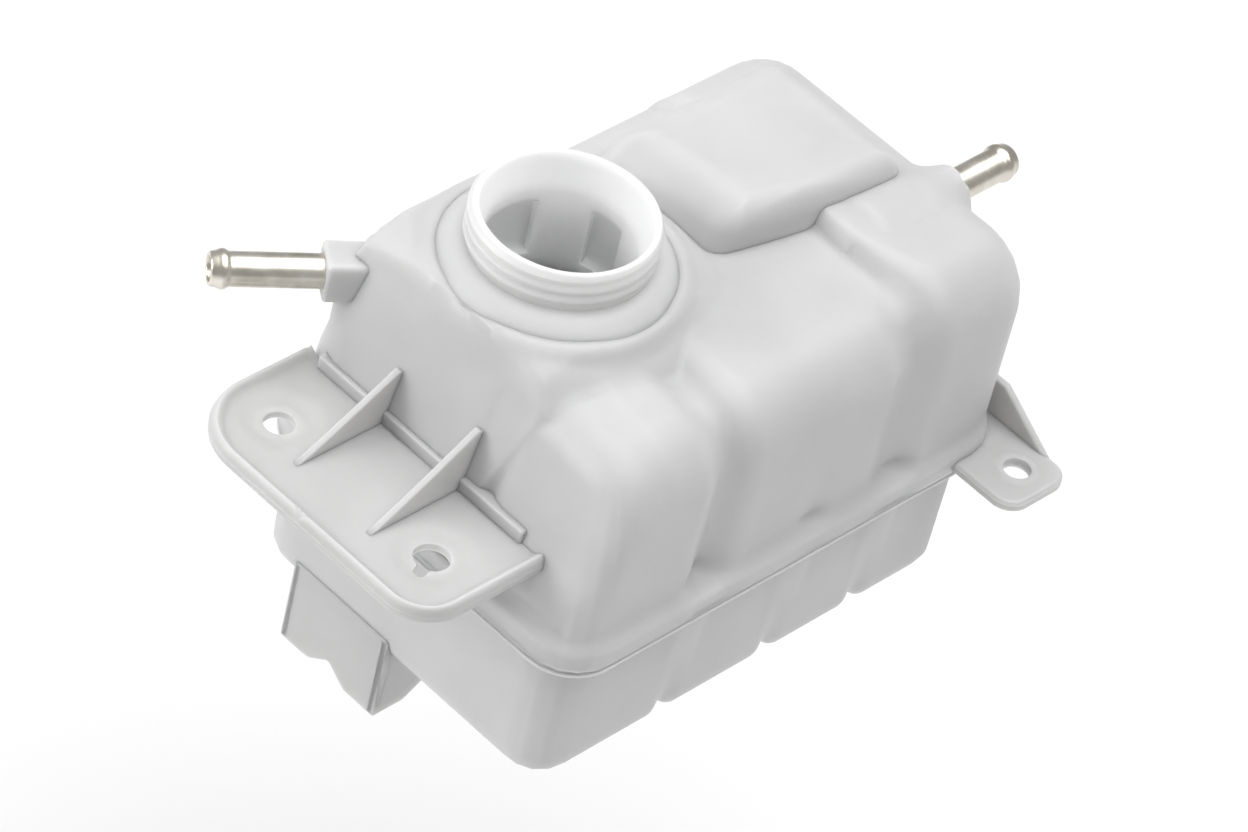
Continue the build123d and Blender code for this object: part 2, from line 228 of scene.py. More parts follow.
def upper_form(x, y, z):
    """Distance to the upper shell's outside: its forms joined one by one, then flared into the flange."""
    end_wall = end_lean * (np.interp(z, end_heights, end_places) - x)
    rear = back_lean * (y - np.interp(z, back_heights, back_places))
    form = join(left_chamber(x, y, z, end_wall), leaning_end(x, y, z, end_wall, rear), end_hollow)
    form = join(form, middle_chamber(x, y, z, rear), middle_hollow)
    form = join(form, right_chamber(x, y, z, rear), np.interp(y, riser_foot_y, riser_foot_hollows))
    form = join(form, platform(x, y, z, end_wall, rear), platform_hollow)
    collar = meet(np.hypot(x - neck_x, y - neck_y) - collar_r, np.maximum(z - collar_top, collar_root - z),
                  collar_rim)
    form = join(form, collar, collar_hollow) + groove_ends(x, y, z)
    return join(form, meet(flange_plan(x, y), z - flange_top, flange_top_rim), flange_top_flare)


def lower_form(x, y, z):
    """Distance to the lower shell's outside: four chambers with a little draft, joined, and the flange."""
    edges = (lower_left,) + lower_grooves + (lower_right,)
    outer = plan_box(x, y, (lower_left, lower_right), (lower_front, lower_back), corner_r)
    bite = np.interp(z, bite_heights, bites)
    form = None
    for start, end in zip(edges[:-1], edges[1:]):
        plan = plan_box(x, y, (start, end), (lower_front, lower_back), lower_notch)
        chamber = meet(np.maximum(plan, outer) - lower_draft * z, -lower_depth - z, lower_rim)
        form = chamber if form is None else join(form, chamber, bite)
    return join(form, meet(flange_plan(x, y), -flange_drop - z, flange_drop_rim), flange_drop_flare)


def raised_box(x, y, z):
    """Distance to the raised box at the back: sloped left side, bent front and a bowed top, rims rounded."""
    above = z - box_foot
    slope = box_slope[0] * (box_corner[0] + box_slope_run * above - x) + box_slope[1] * (box_corner[1] - y)
    front = -box_front_turn[0] * (x - box_corner[0]) - box_front_turn[1] * (y - box_corner[1])
    bent = -box_bent_turn[0] * (x - box_bend[0]) - box_bent_turn[1] * (y - box_bend[1])
    rear = back_lean * (y - box_back + box_back_run * above)
    sides = meet(x - box_right, rear, box_back_rim)
    sides = meet(sides, meet(front, bent, box_bend_rim), box_front_rim) + box_draft * above
    crown = z - box_top + box_bow * ((x - box_crown[0]) ** 2 + (y - box_crown[1]) ** 2)
    return meet(meet(sides, slope, box_slope_rim), crown, box_top_rim)


def march(form, start, heading, level=0.0, reach=90.0, steps=60):
    """First crossing of form = level along each ray: even steps outwards, then halving."""
    inside = np.zeros(start.shape[:-1])
    outside = np.full(start.shape[:-1], np.nan)
    for distance in np.linspace(0, reach, steps + 1)[1:]:
        points = start + distance * heading
        value = form(*np.moveaxis(points, -1, 0)) - level
        still = np.isnan(outside)
        outside = np.where(still & (value > 0), distance, outside)
        inside = np.where(still & (value <= 0), distance, inside)
    outside = np.where(np.isnan(outside), inside, outside)
    for _ in range(16):
        middle = (inside + outside) / 2
        points = start + middle[..., None] * heading
        value = form(*np.moveaxis(points, -1, 0)) - level
        inside = np.where(value <= 0, middle, inside)
        outside = np.where(value > 0, middle, outside)
    return start + inside[..., None] * heading


def rounded_path(x_span, y_span, corner, count, dense_at=(), width=5.0):
    """Points and outward directions round a rounded rectangle, closer together near dense_at."""
    length, depth = x_span[1] - x_span[0] - 2 * corner, y_span[1] - y_span[0] - 2 * corner
    arc = corner * np.pi / 2
    sides = (length, arc, depth, arc, length, arc, depth, arc)
    ends = np.concatenate(([0], np.cumsum(sides)))

    def along(s):
        """Place on the path at arc length s: straight sides and quarter circles in turn."""
        part = np.clip(np.searchsorted(ends, s, side="right") - 1, 0, 7)
        local = s - ends[part]
        quarter = part // 2
        turned = np.where(part % 2 == 1, local / corner, 0.0) + quarter * np.pi / 2
        heading = np.stack((np.sin(turned), -np.cos(turned)), -1)
        centres = np.array(((x_span[1], y_span[0]), (x_span[1], y_span[1]),
                            (x_span[0], y_span[1]), (x_span[0], y_span[0])))
        inset = np.array(((-1, 1), (-1, -1), (1, -1), (1, 1))) * corner
        starts = (centres + inset)[quarter - 1]
        tangent = np.stack((np.cos(turned), np.sin(turned)), -1)
        centre = (centres + inset)[quarter]
        straight = starts + tangent * local[:, None]
        base = np.where((part % 2 == 1)[:, None], centre, straight)
        return base + corner * heading, heading

    fine = np.linspace(0, ends[-1], 4001)
    places, _ = along(np.minimum(fine, ends[-1] - 1e-6))
    weight = np.ones(fine.shape)
    for x in dense_at:
        weight += 2.5 * np.exp(-((places[:, 0] - x) / width) ** 2)
    total = np.concatenate(([0], np.cumsum((weight[1:] + weight[:-1]) / 2)))
    spread = np.interp(np.arange(count) / count * total[-1], total, fine)
    return along(spread)


def shell_grid(form, levels, pivot, axis, hole_r, columns, dense_at, top_rows, upwards):
    """Closed wall of a moulded shell, as rows of points that start and end at the weld seam.

    Rays leave a rounded rectangle inside the shell: level ones at each height, then ones that turn
    from level to upright at the pivot height, then upright ones that move in to the hole. The
    inner face is the same rays taken to the wall thickness inside the form.
    """
    inset, corner = 18.0, 6.0
    span_x = (flange_left + inset, flange_right - inset)
    span_y = (flange_front + inset, flange_back - inset)
    places, headings = rounded_path(span_x, span_y, corner, columns, dense_at)
    level_heading = np.concatenate((headings, np.zeros((columns, 1))), 1)
    upright = np.array((0.0, 0.0, 1.0 if upwards else -1.0))

    def rays(levels, turns, shares):
        """Start points and directions of all rays, row by row."""
        starts, directions = [], []
        for height in levels:
            starts.append(np.column_stack((places, np.full(columns, height))))
            directions.append(level_heading)
        for turn in turns:
            starts.append(np.column_stack((places, np.full(columns, pivot))))
            directions.append(np.cos(turn) * level_heading + np.sin(turn) * upright)
        bearing = np.arctan2(places[:, 1] - axis[1], places[:, 0] - axis[0])
        ring = np.column_stack((axis[0] + hole_r * np.cos(bearing), axis[1] + hole_r * np.sin(bearing)))
        for share in shares:
            plan = places * (1 - share) + ring * share
            starts.append(np.column_stack((plan, np.full(columns, pivot))))
            directions.append(np.tile(upright, (columns, 1)))
        return np.array(starts), np.array(directions)

    turns = np.linspace(0, np.pi / 2, 27)[1:]
    outer = march(form, *rays(levels, turns, np.linspace(0, 1, top_rows)[1:]))
    thin = levels[::3] if levels[-1] in levels[::3] else np.append(levels[::3], levels[-1])
    inner = march(form, *rays(thin, turns[2::3], np.linspace(0, 1, top_rows // 3)[1:]), level=-wall)
    return np.concatenate((outer, inner[::-1]))


def make_piece(name, grid, material, rows_join=True, smooth_angle=40.0):
    """A closed piece from a grid of points: columns run round, and rows join or end in poles."""
    rows, columns = grid.shape[:2]
    points = grid.reshape(-1, 3)
    index = np.arange(rows * columns).reshape(rows, columns)
    ahead = np.roll(index, -1, axis=1)
    last = rows if rows_join else rows - 1
    below = np.roll(index, -1, axis=0)[:last]
    below_ahead = np.roll(ahead, -1, axis=0)[:last]
    quads = np.stack((index[:last], ahead[:last], below_ahead, below), -1).reshape(-1, 4)
    faces = [quads]
    if not rows_join:
        points = np.concatenate((points, grid[:1].mean(1), grid[-1:].mean(1)))
        first_pole, last_pole = len(points) - 2, len(points) - 1
        faces.append(np.stack((ahead[0], index[0], np.full(columns, first_pole)), -1))
        faces.append(np.stack((index[-1], ahead[-1], np.full(columns, last_pole)), -1))
    corners = points[quads]
    volume = np.einsum("ij,ij->i", corners[:, 0], np.cross(corners[:, 1], corners[:, 2])).sum()
    volume += np.einsum("ij,ij->i", corners[:, 0], np.cross(corners[:, 2], corners[:, 3])).sum()
    if not rows_join:
        for fan in faces[1:]:
            tri = points[fan]
            volume += np.einsum("ij,ij->i", tri[:, 0], np.cross(tri[:, 1], tri[:, 2])).sum()
    if volume < 0:
        faces = [face[:, ::-1] for face in faces]
    return finish_piece(name, points, faces, material, smooth_angle)


def finish_piece(name, points, faces, material, smooth_angle):
    """Puts points in millimetres and faces into a mesh that rides on the tank."""
    mesh = bpy.data.meshes.new(name)
    loops = np.concatenate([face.ravel() for face in faces])
    sizes = np.concatenate([np.full(len(face), face.shape[1]) for face in faces])
    starts = np.concatenate(([0], np.cumsum(sizes)[:-1]))
    mesh.vertices.add(len(points))
    mesh.vertices.foreach_set("co", (points * MILLIMETRE + SEAM_MIDDLE).astype(np.float32).ravel())
    mesh.loops.add(len(loops))
    mesh.loops.foreach_set("vertex_index", loops.astype(np.int32))
    mesh.polygons.add(len(sizes))
    mesh.polygons.foreach_set("loop_start", starts.astype(np.int32))
    mesh.update(calc_edges=True)
    mesh.validate()
    mesh.shade_smooth()
    mesh.set_sharp_from_angle(angle=np.radians(smooth_angle))
    piece = bpy.data.objects.new(name, mesh)
    bpy.context.collection.objects.link(piece)
    piece.data.materials.append(material)
    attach(piece, "root")
    return piece


def lathe(profile, origin, direction, columns=96, bulge=None):
    """Profile of (along, radius) rows turned about an axis; bulge adds to the radius."""
    direction = np.array(direction, float) / np.linalg.norm(direction)
    side = np.cross(direction, (0.0, 0.0, 1.0) if abs(direction[2]) < 0.9 else (0.0, -1.0, 0.0))
    side /= np.linalg.norm(side)
    other = np.cross(direction, side)
    angle = np.arange(columns) / columns * 2 * np.pi
    along, radius = np.array(profile, float).T
    radius = radius[:, None] + (0 if bulge is None else bulge(along[:, None], angle[None, :]))
    ring = np.cos(angle)[:, None] * side + np.sin(angle)[:, None] * other
    return (np.array(origin, float) + along[:, None, None] * direction
            + radius[..., None] * ring[None])


def soften(profile, r=0.6, steps=5):
    """Closed profile with each corner replaced by a short arc of about radius r."""
    points = np.array(profile, float)
    rounded = []
    for before, corner, after in zip(np.roll(points, 1, 0), points, np.roll(points, -1, 0)):
        arms = [before - corner, after - corner]
        lengths = [np.linalg.norm(arm) for arm in arms]
        reach = min(r, 0.45 * lengths[0], 0.45 * lengths[1])
        start, end = (corner + arm / size * reach for arm, size in zip(arms, lengths))
        t = np.linspace(0, 1, steps)[:, None]
        rounded.append((1 - t) ** 2 * start + 2 * t * (1 - t) * corner + t ** 2 * end)
    return np.concatenate(rounded)


def rectangle(low, high):
    """Corners of a rectangle, from its lowest to its highest corner."""
    return [low, (high[0], low[1]), high, (low[0], high[1])]


def prism(outline, plane_origin, axis_u, axis_v, thickness, name, material, bevel=0.5):
    """Flat plate of an outline, carried along its normal to both sides of a plane, with rounded edges."""
    axis_u, axis_v = np.array(axis_u, float), np.array(axis_v, float)
    normal = np.cross(axis_u, axis_v)
    outline = np.array(outline, float)
    flat = np.array(plane_origin, float) + outline[:, :1] * axis_u + outline[:, 1:] * axis_v
    points = np.concatenate((flat - normal * thickness / 2, flat + normal * thickness / 2))
    n = len(outline)
    ring = np.arange(n)
    turned = np.roll(ring, -1)
    area = np.sum(outline[:, 0] * np.roll(outline[:, 1], -1) - np.roll(outline[:, 0], -1) * outline[:, 1])
    sides = np.stack((ring, turned, turned + n, ring + n), -1)
    caps = np.stack((ring[::-1], ring + n))
    faces = [sides, caps] if area > 0 else [sides[:, ::-1], caps[:, ::-1]]
    piece = finish_piece(name, points, faces, material, 30.0)
    rounding = piece.modifiers.new("Rounding", "BEVEL")
    rounding.width = bevel * MILLIMETRE
    rounding.segments = 3
    rounding.limit_method = "ANGLE"


def plate_half(edge, top, bottom, hole, hole_r, angles, rows, notch=0.0):
    """Plate round one hole: rays from the hole to the edge form, on the top and below.

    The notch adds to the hole's radius round one bearing, as a flat-topped bell curve.
    """
    notch_bearing, notch_half = 199.0, 17.0
    heading = np.stack((np.cos(angles), np.sin(angles), np.zeros(len(angles))), -1)
    rim_r = hole_r + notch * np.exp(-((np.degrees(angles) % 360 - notch_bearing) / notch_half) ** 4)
    start = np.tile(np.array((hole[0], hole[1], 0.0)), (len(angles), 1)) + rim_r[:, None] * heading
    rim = march(lambda x, y, z: edge(x, y), start, heading, reach=75.0, steps=150)
    share = 1 - (1 - np.linspace(0, 1, rows)) ** 1.8
    plan = start[None] * (1 - share)[:, None, None] + rim[None] * share[:, None, None]
    upper, lower = plan.copy(), plan[::-1].copy()
    upper[..., 2] = top(upper[..., 0], upper[..., 1])
    lower[..., 2] = bottom(lower[..., 0], lower[..., 1])
    return np.concatenate((upper, lower))


def make_plate(name, halves, split, material):
    """Two plate halves in one closed piece: the faces between them on the split line are left out."""
    points, faces = [], []
    for half in halves:
        rows, columns = half.shape[:2]
        index = np.arange(rows * columns).reshape(rows, columns) + sum(len(part) for part in points)
        ahead, below = np.roll(index, -1, axis=1), np.roll(index, -1, axis=0)
        quads = np.stack((index, ahead, np.roll(ahead, -1, axis=0), below), -1).reshape(-1, 4)
        points.append(half.reshape(-1, 3))
        middle = np.concatenate(points)[quads][..., 1]
        faces.append(quads[np.abs(middle - split).max(1) > 1e-3])
    points, faces = np.concatenate(points), np.concatenate(faces)
    piece = finish_piece(name, points, [faces], material, 50.0)
    body = bmesh.new()
    body.from_mesh(piece.data)
    bmesh.ops.remove_doubles(body, verts=body.verts, dist=2e-6)
    bmesh.ops.recalc_face_normals(body, faces=body.faces)
    body.to_mesh(piece.data)
    body.free()


# Materials
def node_material(name):
    """New node material and its shader's nodes and links."""
    material = bpy.data.materials.new(name)
    material.use_nodes = True
    return material, material.node_tree.nodes, material.node_tree.links


def painted_throat_glow(nodes, links, place, tone):
    """Painted glow: colour that turns paler within pale_r metres of the neck's axis, standing in for light
    that fills the thin wall.
    """
    pale_r, pale_edge, pale = 0.0212, 0.0224, (0.93, 0.93, 0.93, 1)
    shift = nodes.new("ShaderNodeVectorMath")
    shift.operation = "SUBTRACT"
    shift.inputs[1].default_value = SEAM_MIDDLE + np.array((neck_x, neck_y, 0.0)) * MILLIMETRE
    flat = nodes.new("ShaderNodeVectorMath")
    flat.operation = "MULTIPLY"
    flat.inputs[1].default_value = (1, 1, 0)
    away = nodes.new("ShaderNodeVectorMath")
    away.operation = "LENGTH"
    near = nodes.new("ShaderNodeMapRange")
    near.inputs["From Min"].default_value = pale_r
    near.inputs["From Max"].default_value = pale_edge
    near.inputs["To Min"].default_value = 1.0
    near.inputs["To Max"].default_value = 0.0
    paler = nodes.new("ShaderNodeMix")
    paler.data_type = "RGBA"
    paler.inputs[7].default_value = pale
    links.new(place.outputs["Object"], shift.inputs[0])
    links.new(shift.outputs[0], flat.inputs[0])
    links.new(flat.outputs[0], away.inputs[0])
    links.new(away.outputs["Value"], near.inputs["Value"])
    links.new(near.outputs["Result"], paler.inputs[0])
    links.new(tone.outputs["Color"], paler.inputs[6])
    return paler.outputs[2]


def tank_plastic(name, darkest, lightest, depth, throat=False):
    """Milky polypropylene: cloudy tone, light scattered about depth metres deep, fine moulded skin; throat
    adds a painted glow near the neck's axis.
    """
    material, nodes, links = node_material(name)
    shader = nodes["Principled BSDF"]
    shader.subsurface_method = "RANDOM_WALK"
    shader.inputs["Subsurface Weight"].default_value = 0.85
    shader.inputs["Subsurface Radius"].default_value = (1.0, 0.97, 0.95)
    shader.inputs["Subsurface Scale"].default_value = depth
    shader.inputs["IOR"].default_value = 1.47
    place = nodes.new("ShaderNodeTexCoord")
    cloud = nodes.new("ShaderNodeTexNoise")
    cloud.inputs["Scale"].default_value = 38.0
    cloud.inputs["Detail"].default_value = 3.0
    tone = nodes.new("ShaderNodeValToRGB")
    tone.color_ramp.elements[0].position = 0.3
    tone.color_ramp.elements[0].color = (darkest, darkest, darkest, 1)
    tone.color_ramp.elements[1].position = 0.7
    tone.color_ramp.elements[1].color = (lightest, lightest, lightest, 1)
    links.new(place.outputs["Object"], cloud.inputs["Vector"])
    links.new(cloud.outputs["Fac"], tone.inputs["Fac"])
    # With throat, the base colour gets the painted glow of light near the neck's axis
    colour = painted_throat_glow(nodes, links, place, tone) if throat else tone.outputs["Color"]
    links.new(colour, shader.inputs["Base Color"])
    gloss = nodes.new("ShaderNodeMapRange")
    gloss.inputs["To Min"].default_value = 0.36
    gloss.inputs["To Max"].default_value = 0.52
    links.new(cloud.outputs["Fac"], gloss.inputs["Value"])
    links.new(gloss.outputs["Result"], shader.inputs["Roughness"])
    skin = nodes.new("ShaderNodeTexNoise")
    skin.inputs["Scale"].default_value = 420.0
    skin.inputs["Detail"].default_value = 2.0
    swell = nodes.new("ShaderNodeBump")
    swell.inputs["Strength"].default_value = 0.12
    swell.inputs["Distance"].default_value = 0.0004
    links.new(place.outputs["Object"], skin.inputs["Vector"])
    links.new(skin.outputs["Fac"], swell.inputs["Height"])
    links.new(swell.outputs["Normal"], shader.inputs["Normal"])
    return material


def pipe_steel():
    """Zinc-coated steel with a warm tint and dull spots."""
    material, nodes, links = node_material("coated_steel")
    shader = nodes["Principled BSDF"]
    shader.inputs["Metallic"].default_value = 1.0
    place = nodes.new("ShaderNodeTexCoord")
    dull = nodes.new("ShaderNodeTexNoise")
    dull.inputs["Scale"].default_value = 160.0
    dull.inputs["Detail"].default_value = 4.0
    tone = nodes.new("ShaderNodeValToRGB")
    tone.color_ramp.elements[0].position = 0.35
    tone.color_ramp.elements[0].color = (0.62, 0.58, 0.50, 1)
    tone.color_ramp.elements[1].position = 0.65
    tone.color_ramp.elements[1].color = (0.80, 0.77, 0.70, 1)
    rough = nodes.new("ShaderNodeMapRange")
    rough.inputs["To Min"].default_value = 0.24
    rough.inputs["To Max"].default_value = 0.38
    links.new(place.outputs["Object"], dull.inputs["Vector"])
    links.new(dull.outputs["Fac"], tone.inputs["Fac"])
    links.new(tone.outputs["Color"], shader.inputs["Base Color"])
    links.new(dull.outputs["Fac"], rough.inputs["Value"])
    links.new(rough.outputs["Result"], shader.inputs["Roughness"])
    return material


plastic = tank_plastic("milky_plastic", 0.53, 0.57, 0.005)
# Lighter copy of the milky plastic for the neck: painted light, with a painted glow in its throat
lit_neck_plastic = tank_plastic("lit_neck_plastic", 0.59, 0.63, 0.012, throat=True)
# Darker copy of the milky plastic for the thin plates: painted shade
shaded_plate_plastic = tank_plastic("shaded_plate_plastic", 0.48, 0.52, 0.005)
steel = pipe_steel()

# Upper shell: level rays up to upper_pivot, with rows closest over the flange
upper_pivot = 33.0
neck_opening_r = 21.0
upper_levels = np.concatenate(((0.0, 0.4), np.linspace(1.2, 9.0, 14), np.linspace(10.2, upper_pivot, 17)))
upper_grid = shell_grid(upper_form, upper_levels, upper_pivot, (neck_x, neck_y), neck_opening_r, 520,
                        (groove_left, groove_right), 66, True)
upper_piece = make_piece("upper_body", upper_grid, plastic)
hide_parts("upper_shell")

# Lower shell: the same downwards, to the outlet's bore
lower_pivot = -27.0
lower_levels = -np.concatenate(((0.0, 0.6, 1.4, 2.1, 2.4, 2.6, 3.2), np.linspace(4.2, -lower_pivot, 17)))
lower_grid = shell_grid(lower_form, lower_levels, lower_pivot, (outlet_x, outlet_y), outlet_bore_r, 480,
                        lower_grooves, 62, False)
lower_piece = make_piece("lower_body", lower_grid, plastic)
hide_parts("lower_shell")

# Raised box: rays spread from its middle, level, turning up at box_waist, then upright over the top
box_columns = 260
box_root, box_waist = 50.0, 60.0
box_middle = np.array((35.0, 7.0))
box_turn_share = 0.6
box_angles = np.arange(box_columns) / box_columns * 2 * np.pi
box_heading = np.stack((np.cos(box_angles), np.sin(box_angles), np.zeros(box_columns)), -1)
upright = np.array((0, 0, 1.0))
box_rows = []
for height in np.linspace(box_root, box_waist, 11):
    start = np.tile(np.append(box_middle, height), (box_columns, 1))
    box_rows.append(march(raised_box, start, box_heading, reach=60.0))
rim_foot = box_rows[-1][:, :2] * box_turn_share + box_middle * (1 - box_turn_share)
start = np.column_stack((rim_foot, np.full(box_columns, box_waist)))
for turn in np.linspace(0, np.pi / 2, 41)[1:]:
    box_rows.append(march(raised_box, start, np.cos(turn) * box_heading + np.sin(turn) * upright, reach=40.0))
for share in np.linspace(0, 0.96, 16)[1:]:
    start = np.column_stack((rim_foot * (1 - share) + box_middle * share, np.full(box_columns, box_waist)))
    box_rows.append(march(raised_box, start, np.tile(upright, (box_columns, 1)), reach=20.0))
make_piece("raised_box", np.array(box_rows), plastic, rows_join=False)


# Filler neck
def between(value, low, high, fade):
    """1 from low to high and 0 beyond, with an even ramp of width fade just inside both ends."""
    return np.clip((value - low) / fade, 0, 1) * np.clip((high - value) / fade, 0, 1)


def thread(along, angle):
    """Height of a helical ridge, a flattened squared sine of the phase, faded out at both ends."""
    phase = (along / thread_pitch - angle / (2 * np.pi)) % 1.0
    ridge = np.clip(1.35 * np.sin(np.pi * phase) ** 2 - 0.15, 0, 1)
    return thread_rise * ridge * between(along, thread_bottom, thread_top, thread_fade)


def windows(along, angle):
    """Depth of two recessed windows in the throat, with a tongue left between them."""
    turn = np.degrees(angle)
    wide = 0
    for start, end in window_spans:
        into = (turn - start + 40.0) % 360 - 40.0
        wide = np.maximum(wide, between(into, 0, end - start, window_side))
    return window_depth * wide * between(along, window_bottom, window_top, window_ledge)


cone_profile = [(56.0, 24.0), (59.4, 29.6), (60.3, 30.2), (60.8, 29.9), (62.6, 27.8), (64.0, 26.0),
                (64.8, 24.6)]
tube_levels = np.linspace(thread_bottom - 0.8, thread_top, 48)
mouth_profile = [(neck_top - 0.3, neck_r - 0.1), (neck_top, neck_r - 0.4), (neck_top, neck_r - 1.3),
                 (neck_top - 0.3, neck_r - 1.6), (neck_top - 1.4, neck_r - 1.8), (71.0, mouth_r + 1.5),
                 (68.5, mouth_r + 0.6)]
throat_levels = np.concatenate((np.linspace(66.6, 63.4, 5), np.linspace(62.9, 62.2, 6),
                                np.linspace(61.0, 47.0, 9), np.linspace(46.2, 45.6, 4)))
skirt_profile = [(42.0, mouth_r), (41.6, mouth_r + 0.9), (42.0, mouth_r + 1.8), (45.0, mouth_r + 5.0),
                 (54.5, mouth_r + 5.0)]
neck_profile = (cone_profile + [(height, neck_r) for height in tube_levels] + mouth_profile
                + [(height, mouth_r) for height in throat_levels] + skirt_profile)
outer_rows = len(cone_profile) + len(tube_levels)
neck_rows = np.arange(len(neck_profile))[:, None]


def neck_relief(along, angle):
    """Thread on the outside rows and windows on the inside rows."""
    return np.where(neck_rows < outer_rows, thread(along, angle), windows(along, angle))


make_piece("filler_neck", lathe(neck_profile, (neck_x, neck_y, 0), (0, 0, 1), 432, neck_relief), lit_neck_plastic,
           smooth_angle=60.0)

# Weld bead under the flange band: a flattened round section carried round the flange
bead_columns = 360
bead_wide, bead_high, bead_height, bead_inset = 0.75, 0.6, -1.9, 0.4
bead_places, bead_headings = rounded_path((flange_left, flange_right), (flange_front, flange_back),
                                          flange_corner, bead_columns)
bead_turns = (np.arange(10) / 10 * 2 * np.pi)[:, None, None]
bead_outwards = np.concatenate((bead_headings, np.zeros((bead_columns, 1))), 1)[None]
bead_path = np.concatenate((bead_places, np.full((bead_columns, 1), bead_height)), 1)[None]
bead = bead_path + (bead_wide * np.cos(bead_turns) - bead_inset) * bead_outwards
bead = bead + bead_high * np.sin(bead_turns) * upright
make_piece("weld_bead", bead, plastic)

# Left bracket
plate_bottom, plate_top = 17.5, 20.4
bolt_x, bolt_back, bolt_front = -89.0, 30.5, -22.5
bolt_r, back_hole_r, front_hole_r, key_notch = 3.6, 3.9, 4.6, 3.0
bracket_split = (bolt_back + bolt_front) / 2
bracket_left, bracket_front, bracket_back = -108.0, -39.0, 46.0
bracket_front_corner, bracket_back_corner = 12.0, 19.0
bracket_inner = -66.7
lip_height, lip_inset, lip_width = 1.7, 1.6, 1.2
edge_drop, edge_width = 1.1, 0.5
dish_depth, dish_r = 0.9, 9.0
ring_height, ring_gap, ring_width = 0.3, 1.4, 0.8


def bracket_edge(x, y):
    """Distance to the bracket's outline: a rounded rectangle that runs on into the wall."""
    x_span, beyond = (bracket_left, -20.0), 60.0
    front = plan_box(x, y, x_span, (bracket_front, bracket_back + beyond), bracket_front_corner)
    back = plan_box(x, y, x_span, (bracket_front - beyond, bracket_back), bracket_back_corner)
    return np.maximum(front, back)


def bracket_top(x, y):
    """Plate top: rolled lip round the edge, a shallow dish and a low ring round each bolt hole."""
    inside = -bracket_edge(x, y)
    lip = lip_height * np.exp(-((inside - lip_inset) / lip_width) ** 2)
    height = plate_top + lip - edge_drop * np.exp(-(inside / edge_width) ** 2)
    for hole_y in (bolt_back, bolt_front):
        away = np.hypot(x - bolt_x, y - hole_y)
        height = height - dish_depth * np.exp(-(away / dish_r) ** 6)
        height = height + ring_height * np.exp(-((away - bolt_r - ring_gap) / ring_width) ** 2)
    return height


def bracket_bottom(x, y):
    """Plate underside, drawn up a little at the very edge."""
    return plate_bottom + 0.7 * np.exp(bracket_edge(x, y) / edge_width)


def bracket_region(side):
    """Edge form of one half: the outline, the wall's inside and the split between the holes."""
    return lambda x, y: np.maximum.reduce((bracket_edge(x, y), x - bracket_inner, side * (bracket_split - y)))


def key_angles(corners, hole, counts):
    """Angles round a hole that go through the corners, spread evenly between them."""
    turns = np.unwrap([np.arctan2(y - hole[1], x - hole[0]) for x, y in corners])
    turns = np.append(turns, turns[0] + 2 * np.pi)
    spans = [np.linspace(a, b, n, endpoint=False) for a, b, n in zip(turns[:-1], turns[1:], counts)]
    return np.concatenate(spans)


back_corners = [(bracket_inner, bracket_split), (bracket_inner, bracket_back),
                (bracket_left, bracket_back - bracket_back_corner), (bracket_left, bracket_split)]
back_angles = key_angles(back_corners, (bolt_x, bolt_back), (36, 46, 60, 40))
front_corners = [(bracket_left, bracket_split), (bracket_left, bracket_front + bracket_front_corner),
                 (bracket_inner, bracket_front), (bracket_inner, bracket_split)]
front_angles = key_angles(front_corners, (bolt_x, bolt_front), (46, 60, 36, 40))
back_half = plate_half(bracket_region(1), bracket_top, bracket_bottom, (bolt_x, bolt_back), back_hole_r,
                       back_angles, 30)
front_half = plate_half(bracket_region(-1), bracket_top, bracket_bottom, (bolt_x, bolt_front), front_hole_r,
                        front_angles, 30, key_notch)
make_plate("bracket_plate", (back_half, front_half), bracket_split, shaded_plate_plastic)

# Gussets of the bracket: thin blades with a hollow crest, sunk a little in the plate and the wall
gusset_thickness, gusset_sink, gusset_reach, gusset_hollow = 1.7, 0.6, 4.0, 1.08
for label, y, foot_x, top_x, top_z in (("gusset_1", 17.5, -96.0, -66.6, 35.6),
                                       ("gusset_2", -9.0, -97.0, -66.2, 37.6)):
    share = np.linspace(0, 1, 24)
    crest = np.column_stack((foot_x + (top_x - foot_x) * share,
                             plate_top + (top_z - plate_top) * share ** gusset_hollow))
    root_x, foot_z = top_x + gusset_reach, plate_top - gusset_sink
    outline = np.concatenate(([(foot_x, foot_z)], crest, [(root_x, top_z - 2.0), (root_x, foot_z)]))
    prism(outline, (0, y, 0), (1, 0, 0), (0, 0, 1), gusset_thickness, label, shaded_plate_plastic, bevel=0.55)

# Ledge along the wall
ledge_x, ledge_width = -67.6, 3.6
prism(rectangle((-31.0, 19.0), (39.5, 24.0)), (ledge_x, 0, 0), (0, 1, 0), (0, 0, 1), ledge_width, "ledge",
      shaded_plate_plastic)

# Right tab
tab_bottom, tab_top = 0.0, 3.0
tab_left, tab_right, tab_front, tab_corner = 55.0, 77.5, -78.45, 6.0
tab_inner = -51.0
tab_hole, tab_hole_r = (67.2, -69.0), 3.6


def tab_edge(x, y):
    """Distance to the tab's outline, which runs on into the flange."""
    return plan_box(x, y, (tab_left, tab_right), (tab_front, -20.0), tab_corner)


def tab_upper(x, y):
    """Tab top with a rounded edge and a low ring round its hole."""
    inside = -tab_edge(x, y)
    away = np.hypot(x - tab_hole[0], y - tab_hole[1])
    ring = ring_height * np.exp(-((away - tab_hole_r - 1.0) / ring_width) ** 2)
    return tab_top - 0.8 * np.exp(-(inside / 0.6) ** 2) + ring


def tab_lower(x, y):
    """Tab underside, drawn up a little at the very edge."""
    return tab_bottom + 0.6 * np.exp(tab_edge(x, y) / edge_width)


